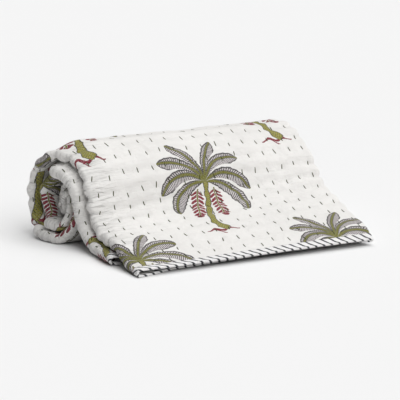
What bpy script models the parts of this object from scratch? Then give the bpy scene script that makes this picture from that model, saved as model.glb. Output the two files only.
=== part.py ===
"""A hand-stitched cotton quilt: folded in three along its length, doubled hem to hem,
rolled up from the doubled end, with its loose end laid out in front of the roll.

Metres, +Z up. The strip lies along X, its loose end points to -Y, and the origin is
the middle of the bounding box at the surface that the roll rests on.
"""
from collections import namedtuple
from math import cos, pi, radians, sin

import bpy
import numpy as np
from mathutils import Matrix, Vector

MM = 0.001

# ---- driving sizes ---------------------------------------------------------------
STRIP_WIDTH = 510 * MM      # the quilt folded in three
CLOTH_LENGTH = 1700 * MM    # hem to hem, along the roll
LEAF = 4.4 * MM             # two cottons and their padding
LEAF_PITCH = 5.6 * MM       # centre to centre of two folded leaves
PACK_GAP = 2.6 * MM         # between the two packs of three leaves
PUFF_REACH = 70 * MM        # how far in from the left fold the leaves stand apart
BINDING_DEPTH = 17 * MM     # hem binding, measured on the face
BINDING_CLOTH = 1.0 * MM
TOUCH_GAP = 0.3 * MM        # between two pieces
EDGE_LEAF = 2.0 * MM        # padding pressed flat inside the binding
SETBACK = 14 * MM           # under leaves end this far behind the top leaf at the hem
SETBACK_REACH = 80 * MM     # and reach that far over this width from the folds
SETBACK_RUN = 250 * MM      # they are level with it again this far from the hem
ROLL_SWELL = 0.075          # the middle of the roll stands higher than its ends
SWELL_ENDS = (12 * MM, 50 * MM, 40 * MM)   # it grows over the first two, and fades after
SWELL_HEIGHTS = (30 * MM, 100 * MM)
PRESSED = 0.4 * MM          # what hangs lower than this lies flat on the surface
ROW_PITCH = 33 * MM         # one row of hand stitches to the next
PUCKER = 1.1 * MM           # height of the soft ridge between two stitch rows

# ---- the roll's section ----------------------------------------------------------
# One row for each bend of the outer pack's middle line, in mm: its place at the left
# end and at the right end, how far the strip slips to the left there, how far the
# inner pack beside it slips, how thick the left fold puffs up on the outer pack and on
# the inner one, and how far the packs part there.
Bend = namedtuple(
    "Bend", "left_y left_z right_y right_z slip inner_slip puff inner_puff parting")
ROLL = [
    Bend(0, 3, 0, 6, 0, -10, 16, 16, 0),               # front hem
    Bend(10, 7, 9, 14, 0, -10, 16, 16, 0),
    Bend(32, 10, 22, 24, 0, -10, 17, 17, 0),
    Bend(62, 17, 44, 32, 0, -11, 18, 18, 0),
    Bend(95, 34, 66, 37, 0, -12, 20, 20, 0),           # over the back hem
    Bend(138, 37, 132, 60, 0, -12, 21, 22, 0),
    Bend(170, 39, 181, 77, 0, -13, 21, 24, 0),
    Bend(196, 50, 208, 94, 0, -15, 22, 26, 0),         # foot of the roll
    Bend(212, 69, 229, 117, 0, -18, 22, 27, 0),
    Bend(218, 96, 247, 141, 0, -21, 21, 28, 0),
    Bend(229, 126, 272, 158, -2, -23, 20, 28, 1),
    Bend(252, 153, 300, 176, -5, -28, 18, 28, 4),
    Bend(285, 171, 339, 188, -12, -35, 16, 28, 7),     # top
    Bend(322, 172, 378, 181, -28, -40, 16, 27, 7),
    Bend(353, 158, 411, 149, -43, -26, 16, 26, 5),
    Bend(377, 133, 425, 105, -49, -30, 16, 26, 5),
    Bend(389, 99, 416, 60, -54, -44, 16, 26, 5),       # back
    Bend(387, 62, 390, 25, -56, -38, 17, 25, 4),
    Bend(366, 27, 352, 5, -56, -36, 18, 24, 1),
    Bend(332, 5, 312, 3, -54, -46, 20, 23, 0),         # under the roll
    Bend(296, 7, 279, 28, -42, -36, 20, 20, 0),
    Bend(272, 32, 268, 62, -24, -26, 18, 18, 0),
    Bend(264, 59, 268, 86, -14, -20, 17, 17, 0),       # up inside the loose end
    Bend(265, 85, 275, 108, -10, -16, 16, 16, 0),
    Bend(276, 107, 293, 124, -8, -14, 16, 16, 0),
    Bend(300, 118, 318, 133, -8, -16, 16, 16, 0),      # top, second time
    Bend(324, 110, 342, 129, -8, -16, 16, 16, 1),
    Bend(337, 90, 356, 110, -10, -16, 16, 16, 2),
    Bend(337, 68, 355, 88, -12, -14, 16, 16, 3),       # doubled end, at the core
]
HEM_LEFT, HEM_RIGHT = 95 * MM, 26 * MM   # how far back the second hem lies
SLIP_REACH = 14 * MM        # the packs don't lie edge to edge, so each clears the other's puff
CORE_SHARE = 0.72           # beyond this share of its length the pack winds tightly

# ---- how finely the section is worked out ----------------------------------------
SPLINE_STEPS = 30
PATH_POINTS = 1200
LOOP_POINTS = 40
BEND_POINTS = 1800
SETTLE_ROUNDS, SETTLE_PASSES = 3, 30
CORE_PASSES = 500
BEND_PASSES = 200

# ---- mesh stations ---------------------------------------------------------------
LEAF_STATIONS = [15 * MM, 30 * MM, 60 * MM, 130 * MM, 280 * MM, 430 * MM, 504 * MM]
LOWER_EDGE = 508 * MM       # free long edge of the bottom leaf
LEFT_FOLD_STEPS = 4
RIGHT_FOLD_STEPS = 3
SHOWN = 550 * MM            # cloth from the front hem to the top of the roll
ROW_STEP = ROW_PITCH / 3    # mesh rows where it shows
HIDDEN_SAG = 0.9 * MM       # farthest that a hidden mesh row cuts a bend
HIDDEN_STEPS = (8 * MM, 28 * MM)
NOSE_CLEAR = 0.6 * MM       # from the quilt's edge to the inside of its binding's fold
BINDING_TURN = (0, 45, 90, 135, 180)   # degrees round the binding's fold


def ease(value, start, end):
    """Smooth step from 0 to 1."""
    t = np.clip((value - start) / (end - start), 0, 1)
    return t * t * (3 - 2 * t)


def spline(rows, steps):
    """Catmull-Rom curve through the rows of a table."""
    rows = np.vstack([2 * rows[0] - rows[1], rows, 2 * rows[-1] - rows[-2]])
    t = np.linspace(0, 1, steps, endpoint=False)[:, None]
    out = []
    for a, b, c, d in zip(rows, rows[1:], rows[2:], rows[3:]):
        out.append(0.5 * (2 * b + (c - a) * t + (2 * a - 5 * b + 4 * c - d) * t**2
                          + (3 * b - a - 3 * c + d) * t**3))
    out.append(rows[-2][None])
    return np.vstack(out)


def arc(curve):
    """Length along a curve at each of its points."""
    return np.r_[0, np.cumsum(np.linalg.norm(np.diff(curve, axis=0), axis=1))]


def normals(curve):
    """Unit normals, to the left of the way along the curve."""
    tangent = np.gradient(curve, axis=0)
    tangent /= np.maximum(np.linalg.norm(tangent, axis=1), 1e-9)[:, None]
    return np.stack([-tangent[:, 1], tangent[:, 0]], -1)


def relax(curve, passes):
    """Even out a curve's small kinks, its ends kept."""
    curve = curve.copy()
    for _ in range(passes):
        curve[1:-1] = 0.25 * curve[:-2] + 0.5 * curve[1:-1] + 0.25 * curve[2:]
    return curve


def leaf_pitch(x, puff):
    """Distance between leaves, wider at the puffed left fold."""
    at_fold = (puff - LEAF) / 2
    return at_fold + (LEAF_PITCH - at_fold) * ease(x, 5 * MM, PUFF_REACH)


class Column:
    """The doubled and rolled strip at one distance from its left fold."""

    def __init__(self, x):
        share = x / STRIP_WIDTH
        table = spline(np.array(ROLL, float) * MM, SPLINE_STEPS)
        outer = table[:, 0:2] * (1 - share) + table[:, 2:4] * share
        swell = ease(x, *SWELL_ENDS[:2]) * (1 - ease(x, SWELL_ENDS[2], STRIP_WIDTH))
        outer[:, 1] *= 1 + ROLL_SWELL * swell * ease(outer[:, 1], *SWELL_HEIGHTS)
        length = arc(outer)
        even = np.linspace(0, length[-1], PATH_POINTS)
        outer = np.stack([np.interp(even, length, outer[:, k]) for k in (0, 1)], -1)
        slip, inner_slip, puff, inner_puff, parting = (
            np.interp(even, length, table[:, k]) for k in (4, 5, 6, 7, 8))
        outer = self.settled(outer, leaf_pitch(x, puff) + LEAF / 2)
        apart = leaf_pitch(x - SLIP_REACH, puff) + leaf_pitch(x - SLIP_REACH, inner_puff)
        apart += LEAF + PACK_GAP + parting * (1 - share)
        inner = self.settled(outer - apart[:, None] * normals(outer),
                             leaf_pitch(x, inner_puff) + LEAF / 2)
        core = int(CORE_SHARE * PATH_POINTS)
        inner[core:] = relax(inner[core:], CORE_PASSES)
        hem_y = HEM_LEFT * (1 - share) + HEM_RIGHT * share
        hem = np.argmax(inner[:, 0] > hem_y)
        loop = self.loop(outer, inner[-1])
        turned = np.linspace(0, 1, len(loop))
        self.point = np.vstack([outer, loop, inner[hem:][::-1]])
        self.slip = np.r_[slip, slip[-1] + (inner_slip[-1] - slip[-1]) * turned,
                          inner_slip[hem:][::-1]]
        self.puff = np.r_[puff, puff[-1] + (inner_puff[-1] - puff[-1]) * turned,
                          inner_puff[hem:][::-1]]
        self.normal = normals(self.point)
        run = arc(self.point)
        give = (CLOTH_LENGTH - SHOWN) / (run[-1] - SHOWN)   # taken up inside the roll
        self.cloth = np.where(run < SHOWN, run, SHOWN + (run - SHOWN) * give)

    @staticmethod
    def settled(curve, half):
        """A middle line that is smooth and lies on the surface below."""
        for _ in range(SETTLE_ROUNDS):
            curve = relax(curve, SETTLE_PASSES)
            curve[:, 1] = np.maximum(curve[:, 1], half)
        return curve

    @staticmethod
    def loop(outer, inner_end):
        """Half circle that joins the two packs at the core."""
        middle = (outer[-1] + inner_end) / 2
        across = outer[-1] - middle
        onward = np.array([across[1], -across[0]])
        if onward @ (outer[-1] - outer[-6]) < 0:
            onward = -onward
        turn = np.linspace(0, pi, LOOP_POINTS)[1:-1, None]
        return middle + np.cos(turn) * across + np.sin(turn) * onward

    def at(self, s, name):
        """One of the column's values at cloth length s."""
        values = getattr(self, name)
        if values.ndim == 1:
            return np.interp(s, self.cloth, values)
        return np.stack([np.interp(s, self.cloth, values[:, k]) for k in (0, 1)], -1)


# Where a station lies in the section across the strip: its column, the leaf it is on
# (0 on a fold), and how far round the fold it is.
Station = namedtuple("Station", "x leaf fold turn")


def across_strip(leaf_stations, left_steps, right_steps):
    """Stations from the middle leaf's free edge, over the top leaf, to the bottom's."""
    out = [Station(x, 2, None, 0) for x in leaf_stations[1:]]
    for k in range(1, right_steps):
        out.append(Station(leaf_stations[-1], 0, "right", pi * k / right_steps))
    out += [Station(x, 1, None, 0) for x in reversed(leaf_stations)]
    for k in range(1, left_steps):
        out.append(Station(0.0, 0, "left", pi * k / left_steps))
    out += [Station(x, 3, None, 0) for x in leaf_stations + [LOWER_EDGE]]
    return out


def section_place(station, puff):
    """x and height of a station's middle surface in the pack, and its outward normal."""
    pitch = leaf_pitch(station.x, puff)
    zero, one = 0 * pitch, 1 + 0 * pitch
    if station.fold == "right":
        r = pitch / 2
        return (station.x + r * sin(station.turn), r - r * cos(station.turn),
                sin(station.turn) * one, -cos(station.turn) * one)
    if station.fold == "left":
        return (pitch - pitch * sin(station.turn), pitch * cos(station.turn),
                -sin(station.turn) * one, cos(station.turn) * one)
    height = {1: pitch, 2: zero, 3: -pitch}[station.leaf]
    outward = one if station.leaf == 1 else -one
    return station.x + zero, height, zero, outward


def under_share(station):
    """0 on the top leaf and the folds, growing to 1 on the two leaves under it."""
    if station.leaf == 2:
        return 1 - ease(station.x, STRIP_WIDTH - SETBACK_REACH, LEAF_STATIONS[-1])
    if station.leaf == 3:
        return ease(station.x, 0, SETBACK_REACH)
    return 0.0


def pucker(s):
    """Soft ridges between the rows of hand stitches, fading out on the flat foot and
    over the top."""
    ridge = 0.5 - 0.5 * np.cos(2 * pi * s / ROW_PITCH)
    shown = (0.35 + 0.65 * ease(s, 80 * MM, 200 * MM)) * ease(s, 17 * MM, 40 * MM)
    return PUCKER * ridge * shown * (1 - ease(s, SHOWN - 3 * ROW_PITCH, SHOWN))


def cloth_surface(stations, rows, offsets):
    """Points of a surface that follows the folded cloth: one row of points for each
    cloth length in rows, held off the cloth's middle by offsets."""
    columns = {x: Column(x) for x in {station.x for station in stations}}
    grid = np.empty((len(rows), len(stations), 3))
    for i, station in enumerate(stations):
        column = columns[station.x]
        under = under_share(station)
        s = rows + SETBACK * under * (1 - ease(rows, 0, SETBACK_RUN))
        x, height, normal_x, normal_n = section_place(station, column.at(s, "puff"))
        normal = column.at(s, "normal")
        middle = column.at(s, "point") + height[:, None] * normal
        middle[:, 1] = np.maximum(middle[:, 1], LEAF / 2)
        lift = offsets + pucker(rows) * (station.leaf == 1)
        grid[:, i, 0] = x + lift * normal_x + column.at(s, "slip")
        grid[:, i, 1:] = middle + (lift * normal_n)[:, None] * normal
    return grid


def mirrored_cells(stations, rows):
    """True where the cloth's two directions are turned over: on the top leaf, and past
    the doubled end."""
    top = np.array([station.leaf == 1 for station in stations])
    past = rows > CLOTH_LENGTH / 2
    return past[:, None] != top[None, :]


def cloth_rows():
    """Cloth lengths of the mesh rows: close where the cloth shows, and elsewhere as
    close as its bends need."""
    nose = EDGE_LEAF / 2 + TOUCH_GAP + BINDING_CLOTH
    rows = [nose + NOSE_CLEAR, BINDING_DEPTH / 2, BINDING_DEPTH, 2 * ROW_STEP]
    while rows[-1] + ROW_STEP < SHOWN:
        rows.append(rows[-1] + ROW_STEP)
    lengths = np.linspace(0, CLOTH_LENGTH, BEND_POINTS)
    bend = np.zeros(BEND_POINTS)
    for x in (0, STRIP_WIDTH / 2, STRIP_WIDTH):
        normal = Column(x).at(lengths, "normal")
        turning = np.linalg.norm(np.gradient(normal, lengths, axis=0), axis=1)
        bend = np.maximum(bend, relax(turning, BEND_PASSES))
    last = CLOTH_LENGTH - 2 * ROW_STEP
    hidden = []
    s = rows[-1]
    while s < last:
        step = np.sqrt(8 * HIDDEN_SAG / max(np.interp(s, lengths, bend), 1e-3))
        s += np.clip(step, *HIDDEN_STEPS)
        hidden.append(s)
    fit = (last - rows[-1]) / (hidden[-1] - rows[-1])
    rows += [rows[-1] + (s - rows[-1]) * fit for s in hidden]
    rows += [CLOTH_LENGTH - s for s in (BINDING_DEPTH, BINDING_DEPTH / 2, nose + NOSE_CLEAR)]
    return np.array(rows)


def grid_object(name, grid, mirrored, collection):
    """Object with two triangles for each cell of a grid of points. Cells that are
    mirrored are cut along their other diagonal, so that leaves which lie on each other
    bend along the same lines."""
    rows, across = grid.shape[:2]
    faces = []
    for r in range(rows - 1):
        for a in range(across - 1):
            p = r * across + a
            q, u, v = p + 1, p + across, p + across + 1
            faces += [(p, q, u), (q, v, u)] if mirrored[r, a] else [(p, q, v), (p, v, u)]
    mesh = bpy.data.meshes.new(name)
    mesh.from_pydata(grid.reshape(-1, 3).tolist(), [], faces)
    mesh.validate()
    item = bpy.data.objects.new(name, mesh)
    collection.objects.link(item)
    return item


def thicken(item, thickness, weights=None):
    """Give an open surface its thickness, thinner where weights are below 1, and press
    flat what then touches the surface that the quilt lies on."""
    solid = item.modifiers.new("Thickness", "SOLIDIFY")
    solid.thickness = thickness
    solid.offset = 0
    solid.use_rim = True
    if weights is not None:
        group = item.vertex_groups.new(name="Padding")
        for index, weight in enumerate(weights):
            group.add([index], weight, "REPLACE")
        solid.vertex_group = group.name
    bpy.context.view_layer.objects.active = item
    bpy.ops.object.modifier_apply(modifier=solid.name)
    for vertex in item.data.vertices:
        if vertex.co.z < PRESSED:
            vertex.co.z = 0.0


def cotton(name, colour, roughness):
    """Plain cotton of one colour."""
    material = bpy.data.materials.new(name)
    material.use_nodes = True
    shader = material.node_tree.nodes["Principled BSDF"]
    shader.inputs["Base Color"].default_value = (*colour, 1)
    shader.inputs["Roughness"].default_value = roughness
    shader.inputs["Metallic"].default_value = 0
    return material


def make_quilt(collection, stations):
    """The quilt: one padded cloth, pressed thin inside its two hem bindings."""
    rows = cloth_rows()
    item = grid_object("quilt_cloth", cloth_surface(stations, rows, 0.0),
                       mirrored_cells(stations, rows), collection)
    from_hem = np.minimum(rows, CLOTH_LENGTH - rows)
    full = ease(from_hem, BINDING_DEPTH, 2 * ROW_STEP)
    weight = EDGE_LEAF / LEAF + (1 - EDGE_LEAF / LEAF) * full
    thicken(item, LEAF, np.repeat(weight, len(stations)))
    item.data.materials.append(cotton("White printed cotton", (0.86, 0.85, 0.83), 0.9))
    return item


def make_binding(name, collection, stations, from_front):
    """Bias strip folded over a hem: an U over the quilt's thinned edge."""
    hold_off = EDGE_LEAF / 2 + TOUCH_GAP + BINDING_CLOTH / 2
    nose = hold_off + BINDING_CLOTH / 2
    rows, offsets = [], []
    for s in (BINDING_DEPTH, BINDING_DEPTH / 2):
        rows.append(s)
        offsets.append(-hold_off)
    for degrees in BINDING_TURN:
        turn = radians(degrees)
        rows.append(nose - hold_off * sin(turn))
        offsets.append(-hold_off * cos(turn))
    for s in (BINDING_DEPTH / 2, BINDING_DEPTH):
        rows.append(s)
        offsets.append(hold_off)
    rows, offsets = np.array(rows), np.array(offsets)
    if not from_front:
        rows, offsets = CLOTH_LENGTH - rows, -offsets
    inner_side = offsets < 0
    mirrored = mirrored_cells(stations, rows) != inner_side[:, None]
    item = grid_object(name, cloth_surface(stations, rows, offsets), mirrored, collection)
    thicken(item, BINDING_CLOTH)
    item.data.materials.append(cotton("Striped bias binding", (0.55, 0.55, 0.56), 0.9))
    return item


def centre_on_surface(items):
    """Move the meshes so that the origin is the bounding box's bottom centre."""
    points = [tuple(vertex.co) for item in items for vertex in item.data.vertices]
    low, high = np.min(points, axis=0), np.max(points, axis=0)
    shift = Vector(((low[0] + high[0]) / 2, (low[1] + high[1]) / 2, low[2]))
    for item in items:
        item.data.transform(Matrix.Translation(-shift))


def main():
    for item in list(bpy.data.objects):
        bpy.data.objects.remove(item, do_unlink=True)
    collection = bpy.data.collections.new("Kantha quilt")
    bpy.context.scene.collection.children.link(collection)
    stations = across_strip(LEAF_STATIONS, LEFT_FOLD_STEPS, RIGHT_FOLD_STEPS)
    items = [
        make_quilt(collection, stations),
        make_binding("front_hem_binding", collection, stations, True),
        make_binding("back_hem_binding", collection, stations, False),
    ]
    centre_on_surface(items)


main()
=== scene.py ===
"""The looks of a kantha quilt that is folded in three, doubled and rolled up.

The cloth is laid out flat as a grid, and then folded, doubled and rolled along the same
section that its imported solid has. Metres, +Z up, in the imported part's frame.
"""
from collections import namedtuple
from functools import partial
from math import atan2, cos, pi, radians, sin

import bpy
import numpy as np
from bpy.props import FloatProperty, FloatVectorProperty, PointerProperty
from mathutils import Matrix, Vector


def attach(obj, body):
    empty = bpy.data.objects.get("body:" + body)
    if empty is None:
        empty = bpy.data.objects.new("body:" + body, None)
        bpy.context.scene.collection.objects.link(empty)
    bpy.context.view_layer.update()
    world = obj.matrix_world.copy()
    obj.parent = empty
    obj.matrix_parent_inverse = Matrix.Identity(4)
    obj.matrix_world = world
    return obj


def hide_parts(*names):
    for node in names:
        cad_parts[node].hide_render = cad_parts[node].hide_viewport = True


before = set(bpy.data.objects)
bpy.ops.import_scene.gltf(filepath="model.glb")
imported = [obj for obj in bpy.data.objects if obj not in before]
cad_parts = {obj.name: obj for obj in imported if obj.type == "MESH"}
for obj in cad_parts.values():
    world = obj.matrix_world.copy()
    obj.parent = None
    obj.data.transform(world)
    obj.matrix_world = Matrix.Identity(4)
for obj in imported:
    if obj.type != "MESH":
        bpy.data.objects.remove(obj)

bl_info = {
    "name": "Rolled Kantha Quilt",
    "version": (1, 0, 0),
    "blender": (4, 5, 0),
    "location": "View3D > Sidebar > Quilt",
    "description": "Folds, rolls and stitches a block-printed cotton quilt",
    "category": "Object",
}

MM = 0.001

# ---- the folded strip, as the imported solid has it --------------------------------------
STRIP_WIDTH = 510 * MM
CLOTH_LENGTH = 1700 * MM
LEAF = 4.4 * MM
LEAF_PITCH = 5.6 * MM
PACK_GAP = 2.6 * MM         # between the two packs of the doubled strip
PUFF_REACH = 70 * MM        # from the left fold to where the leaves lie evenly
BINDING_DEPTH = 17 * MM
BINDING_CLOTH = 1.0 * MM
TOUCH_GAP = 0.3 * MM        # from the cloth to its binding
EDGE_LEAF = 2.0 * MM        # thickness of the cloth inside a binding
SETBACK = 14 * MM           # of the two lower leaves behind the hem of the top one
SETBACK_REACH, SETBACK_RUN = 80 * MM, 250 * MM
ROLL_SWELL = 0.075          # how much higher the roll's middle is than its ends
SWELL_ENDS = (12 * MM, 50 * MM, 40 * MM)
SWELL_HEIGHTS = (30 * MM, 100 * MM)
PRESSED = 0.4 * MM          # what is lower than this lies flat
SLIP_REACH = 14 * MM
CORE_SHARE = 0.72           # of the path, past which the inner pack is evened out
HEM_LEFT, HEM_RIGHT = 95 * MM, 26 * MM      # how far back the other hem lies
SHOWN = 550 * MM            # cloth from the front hem on that keeps its true length
HEM_CORNER = Vector((-0.22506, -0.21477, 0))   # the front hem's left corner in the frame

# The outer pack's middle line, in mm, from the front hem to the doubled end at the core:
# its place at the left end and at the right end, how far the strip and the pack inside it
# slip to the left there, how thick the left folds of both puff up, and how far they part.
Bend = namedtuple(
    "Bend", "left_y left_z right_y right_z slip inner_slip puff inner_puff parting")
ROLL = [
    Bend(0, 3, 0, 6, 0, -10, 16, 16, 0),
    Bend(10, 7, 9, 14, 0, -10, 16, 16, 0),
    Bend(32, 10, 22, 24, 0, -10, 17, 17, 0),
    Bend(62, 17, 44, 32, 0, -11, 18, 18, 0),
    Bend(95, 34, 66, 37, 0, -12, 20, 20, 0),
    Bend(138, 37, 132, 60, 0, -12, 21, 22, 0),
    Bend(170, 39, 181, 77, 0, -13, 21, 24, 0),
    Bend(196, 50, 208, 94, 0, -15, 22, 26, 0),
    Bend(212, 69, 229, 117, 0, -18, 22, 27, 0),
    Bend(218, 96, 247, 141, 0, -21, 21, 28, 0),
    Bend(229, 126, 272, 158, -2, -23, 20, 28, 1),
    Bend(252, 153, 300, 176, -5, -28, 18, 28, 4),
    Bend(285, 171, 339, 188, -12, -35, 16, 28, 7),
    Bend(322, 172, 378, 181, -28, -40, 16, 27, 7),
    Bend(353, 158, 411, 149, -43, -26, 16, 26, 5),
    Bend(377, 133, 425, 105, -49, -30, 16, 26, 5),
    Bend(389, 99, 416, 60, -54, -44, 16, 26, 5),
    Bend(387, 62, 390, 25, -56, -38, 17, 25, 4),
    Bend(366, 27, 352, 5, -56, -36, 18, 24, 1),
    Bend(332, 5, 312, 3, -54, -46, 20, 23, 0),
    Bend(296, 7, 279, 28, -42, -36, 20, 20, 0),
    Bend(272, 32, 268, 62, -24, -26, 18, 18, 0),
    Bend(264, 59, 268, 86, -14, -20, 17, 17, 0),
    Bend(265, 85, 275, 108, -10, -16, 16, 16, 0),
    Bend(276, 107, 293, 124, -8, -14, 16, 16, 0),
    Bend(300, 118, 318, 133, -8, -16, 16, 16, 0),
    Bend(324, 110, 342, 129, -8, -16, 16, 16, 1),
    Bend(337, 90, 356, 110, -10, -16, 16, 16, 2),
    Bend(337, 68, 355, 88, -12, -14, 16, 16, 3),
]
SPLINE_STEPS = 30
PATH_POINTS = 1200
LOOP_POINTS = 40
SETTLE_ROUNDS, SETTLE_PASSES = 3, 30
CORE_PASSES = 500

# ---- how finely the cloth is drawn -----------------------------------------------------
LEAF_START, LEAF_END, LOWER_EDGE = 15 * MM, 504 * MM, 508 * MM
TOP_STATIONS = 98           # on the leaf that shows
UNDER_STATIONS = 22
LEFT_FOLD_STEPS = 9
RIGHT_FOLD_STEPS = 5
FINE_RUN = 640 * MM         # the hem to the underside of the roll
FINE_STEP = 4.4 * MM
COARSE_STEP = 11 * MM
NOSE_CLEAR = 0.6 * MM
PADDING_RUN = 3 * FINE_STEP     # from a binding's edge to the full thickness
FOLD_ROUND = 9.5 * MM       # radius at which the print goes round the left fold
BINDING_FLAT_STEPS, BINDING_TURN_STEPS = 6, 8
BINDING_DENT = 0.2 * MM     # most that a gather sinks


# ---- add-on settings -------------------------------------------------------------------
def linear(code):
    """Linear RGB of an sRGB hex colour."""
    parts = [int(code[k:k + 2], 16) / 255 for k in (0, 2, 4)]
    return tuple(c / 12.92 if c <= 0.04045 else ((c + 0.055) / 1.055) ** 2.4 for c in parts)


def colour_setting(name, code, description):
    return FloatVectorProperty(name=name, description=description, subtype="COLOR",
                               size=3, min=0, max=1, default=linear(code))


def length_setting(name, millimetres, description):
    return FloatProperty(name=name, description=description, unit="LENGTH",
                         subtype="DISTANCE", min=0, default=millimetres * MM)


class KanthaStitching(bpy.types.PropertyGroup):
    """The hand quilting and what it does to the cloth."""
    row_pitch: length_setting("Row pitch", 33, "One stitch to the next along the cloth")
    line_pitch: length_setting("Line pitch", 31.9, "One line of stitches to the next")
    stitch: length_setting("Stitch", 13, "Length of thread that shows in a stitch")
    thread: length_setting("Thread", 2.1, "Width of the thread as it lies in the cloth")
    ridge: length_setting("Ridge", 3.4, "Height of the soft ridge between rows")
    dimple: length_setting("Dimple", 1.4, "Depth of the dimple that a stitch pulls")
    colour: colour_setting("Thread colour", "44481a", "Dark olive cotton thread")


class KanthaPrint(bpy.types.PropertyGroup):
    """The block-printed palms."""
    repeat: length_setting("Repeat", 430, "One palm to the next across the cloth")
    row: length_setting("Row", 228, "One row of palms to the next along the cloth")
    cotton: colour_setting("Cotton", "e9e7e4", "Bleached cotton ground")
    frond: colour_setting("Frond", "cdc7c7", "Pale fill of the fronds")
    vein: colour_setting("Vein", "2f292b", "Dark outline and veins")
    olive: colour_setting("Olive", "6d6c22", "Midribs and stems")
    bark: colour_setting("Bark", "918c36", "Trunk")
    crimson: colour_setting("Crimson", "7a0a24", "Berries and roots")
    turn: FloatProperty(name="Turn", default=radians(-3), subtype="ANGLE",
                        description="How far the printing stood askew on the cloth")


class KanthaBinding(bpy.types.PropertyGroup):
    """The bias binding on both hems."""
    stripe_pitch: length_setting("Stripe pitch", 17.6, "One stripe to the next along the hem")
    stripe: length_setting("Stripe", 5, "Width of a stripe along the hem")
    gather: length_setting("Gather", 0.5, "Height of the small gathers along the strip")
    ground: colour_setting("Ground", "eae9e8", "White cotton between the stripes")
    charcoal: colour_setting("Charcoal", "303137", "Printed stripes")


class KanthaStudio(bpy.types.PropertyGroup):
    """Floor, lights and camera."""
    floor: colour_setting("Floor", "ececec", "Matt paper")
    sky: FloatProperty(name="Room light", default=0.06, min=0,
                       description="Strength of the even light from all sides")
    key: FloatProperty(name="Key light", default=2.4, min=0,
                       description="Strength of the wide soft light from the front right")
    top: FloatProperty(name="Top light", default=1.45, min=0,
                       description="Strength of the wide soft light from above")
    azimuth: FloatProperty(name="Azimuth", default=radians(-27.4), subtype="ANGLE",
                           description="Way that the camera looks from +Y, about Z")
    elevation: FloatProperty(name="Elevation", default=radians(13), subtype="ANGLE",
                             description="Height of the camera above the quilt")
    distance: length_setting("Distance", 2900, "Camera to the point that it looks at")
    lens: FloatProperty(name="Lens", default=135, min=1,
                        description="Focal length in millimetres on a 36 mm sensor")


SETTINGS = {
    "kantha_stitching": KanthaStitching,
    "kantha_print": KanthaPrint,
    "kantha_binding": KanthaBinding,
    "kantha_studio": KanthaStudio,
}


# ---- the roll's section ----------------------------------------------------------------
def ease(value, start, end):
    """Smooth step from 0 to 1."""
    t = np.clip((value - start) / (end - start), 0, 1)
    return t * t * (3 - 2 * t)


def spline(rows, steps):
    """Catmull-Rom curve through the rows of a table."""
    rows = np.vstack([2 * rows[0] - rows[1], rows, 2 * rows[-1] - rows[-2]])
    t = np.linspace(0, 1, steps, endpoint=False)[:, None]
    out = []
    for a, b, c, d in zip(rows, rows[1:], rows[2:], rows[3:]):
        out.append(0.5 * (2 * b + (c - a) * t + (2 * a - 5 * b + 4 * c - d) * t**2
                          + (3 * b - a - 3 * c + d) * t**3))
    out.append(rows[-2][None])
    return np.vstack(out)


def arc(curve):
    """Length along a curve at each of its points."""
    return np.r_[0, np.cumsum(np.linalg.norm(np.diff(curve, axis=0), axis=1))]


def normals(curve):
    """Unit normals, to the left of the way along the curve."""
    tangent = np.gradient(curve, axis=0)
    tangent /= np.maximum(np.linalg.norm(tangent, axis=1), 1e-9)[:, None]
    return np.stack([-tangent[:, 1], tangent[:, 0]], -1)


def relax(curve, passes):
    """Even out a curve's small kinks, its ends kept."""
    curve = curve.copy()
    for _ in range(passes):
        curve[1:-1] = 0.25 * curve[:-2] + 0.5 * curve[1:-1] + 0.25 * curve[2:]
    return curve


def leaf_pitch(x, puff):
    """Distance between leaves, wider at the puffed left fold."""
    at_fold = (puff - LEAF) / 2
    return at_fold + (LEAF_PITCH - at_fold) * ease(x, 5 * MM, PUFF_REACH)


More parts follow.
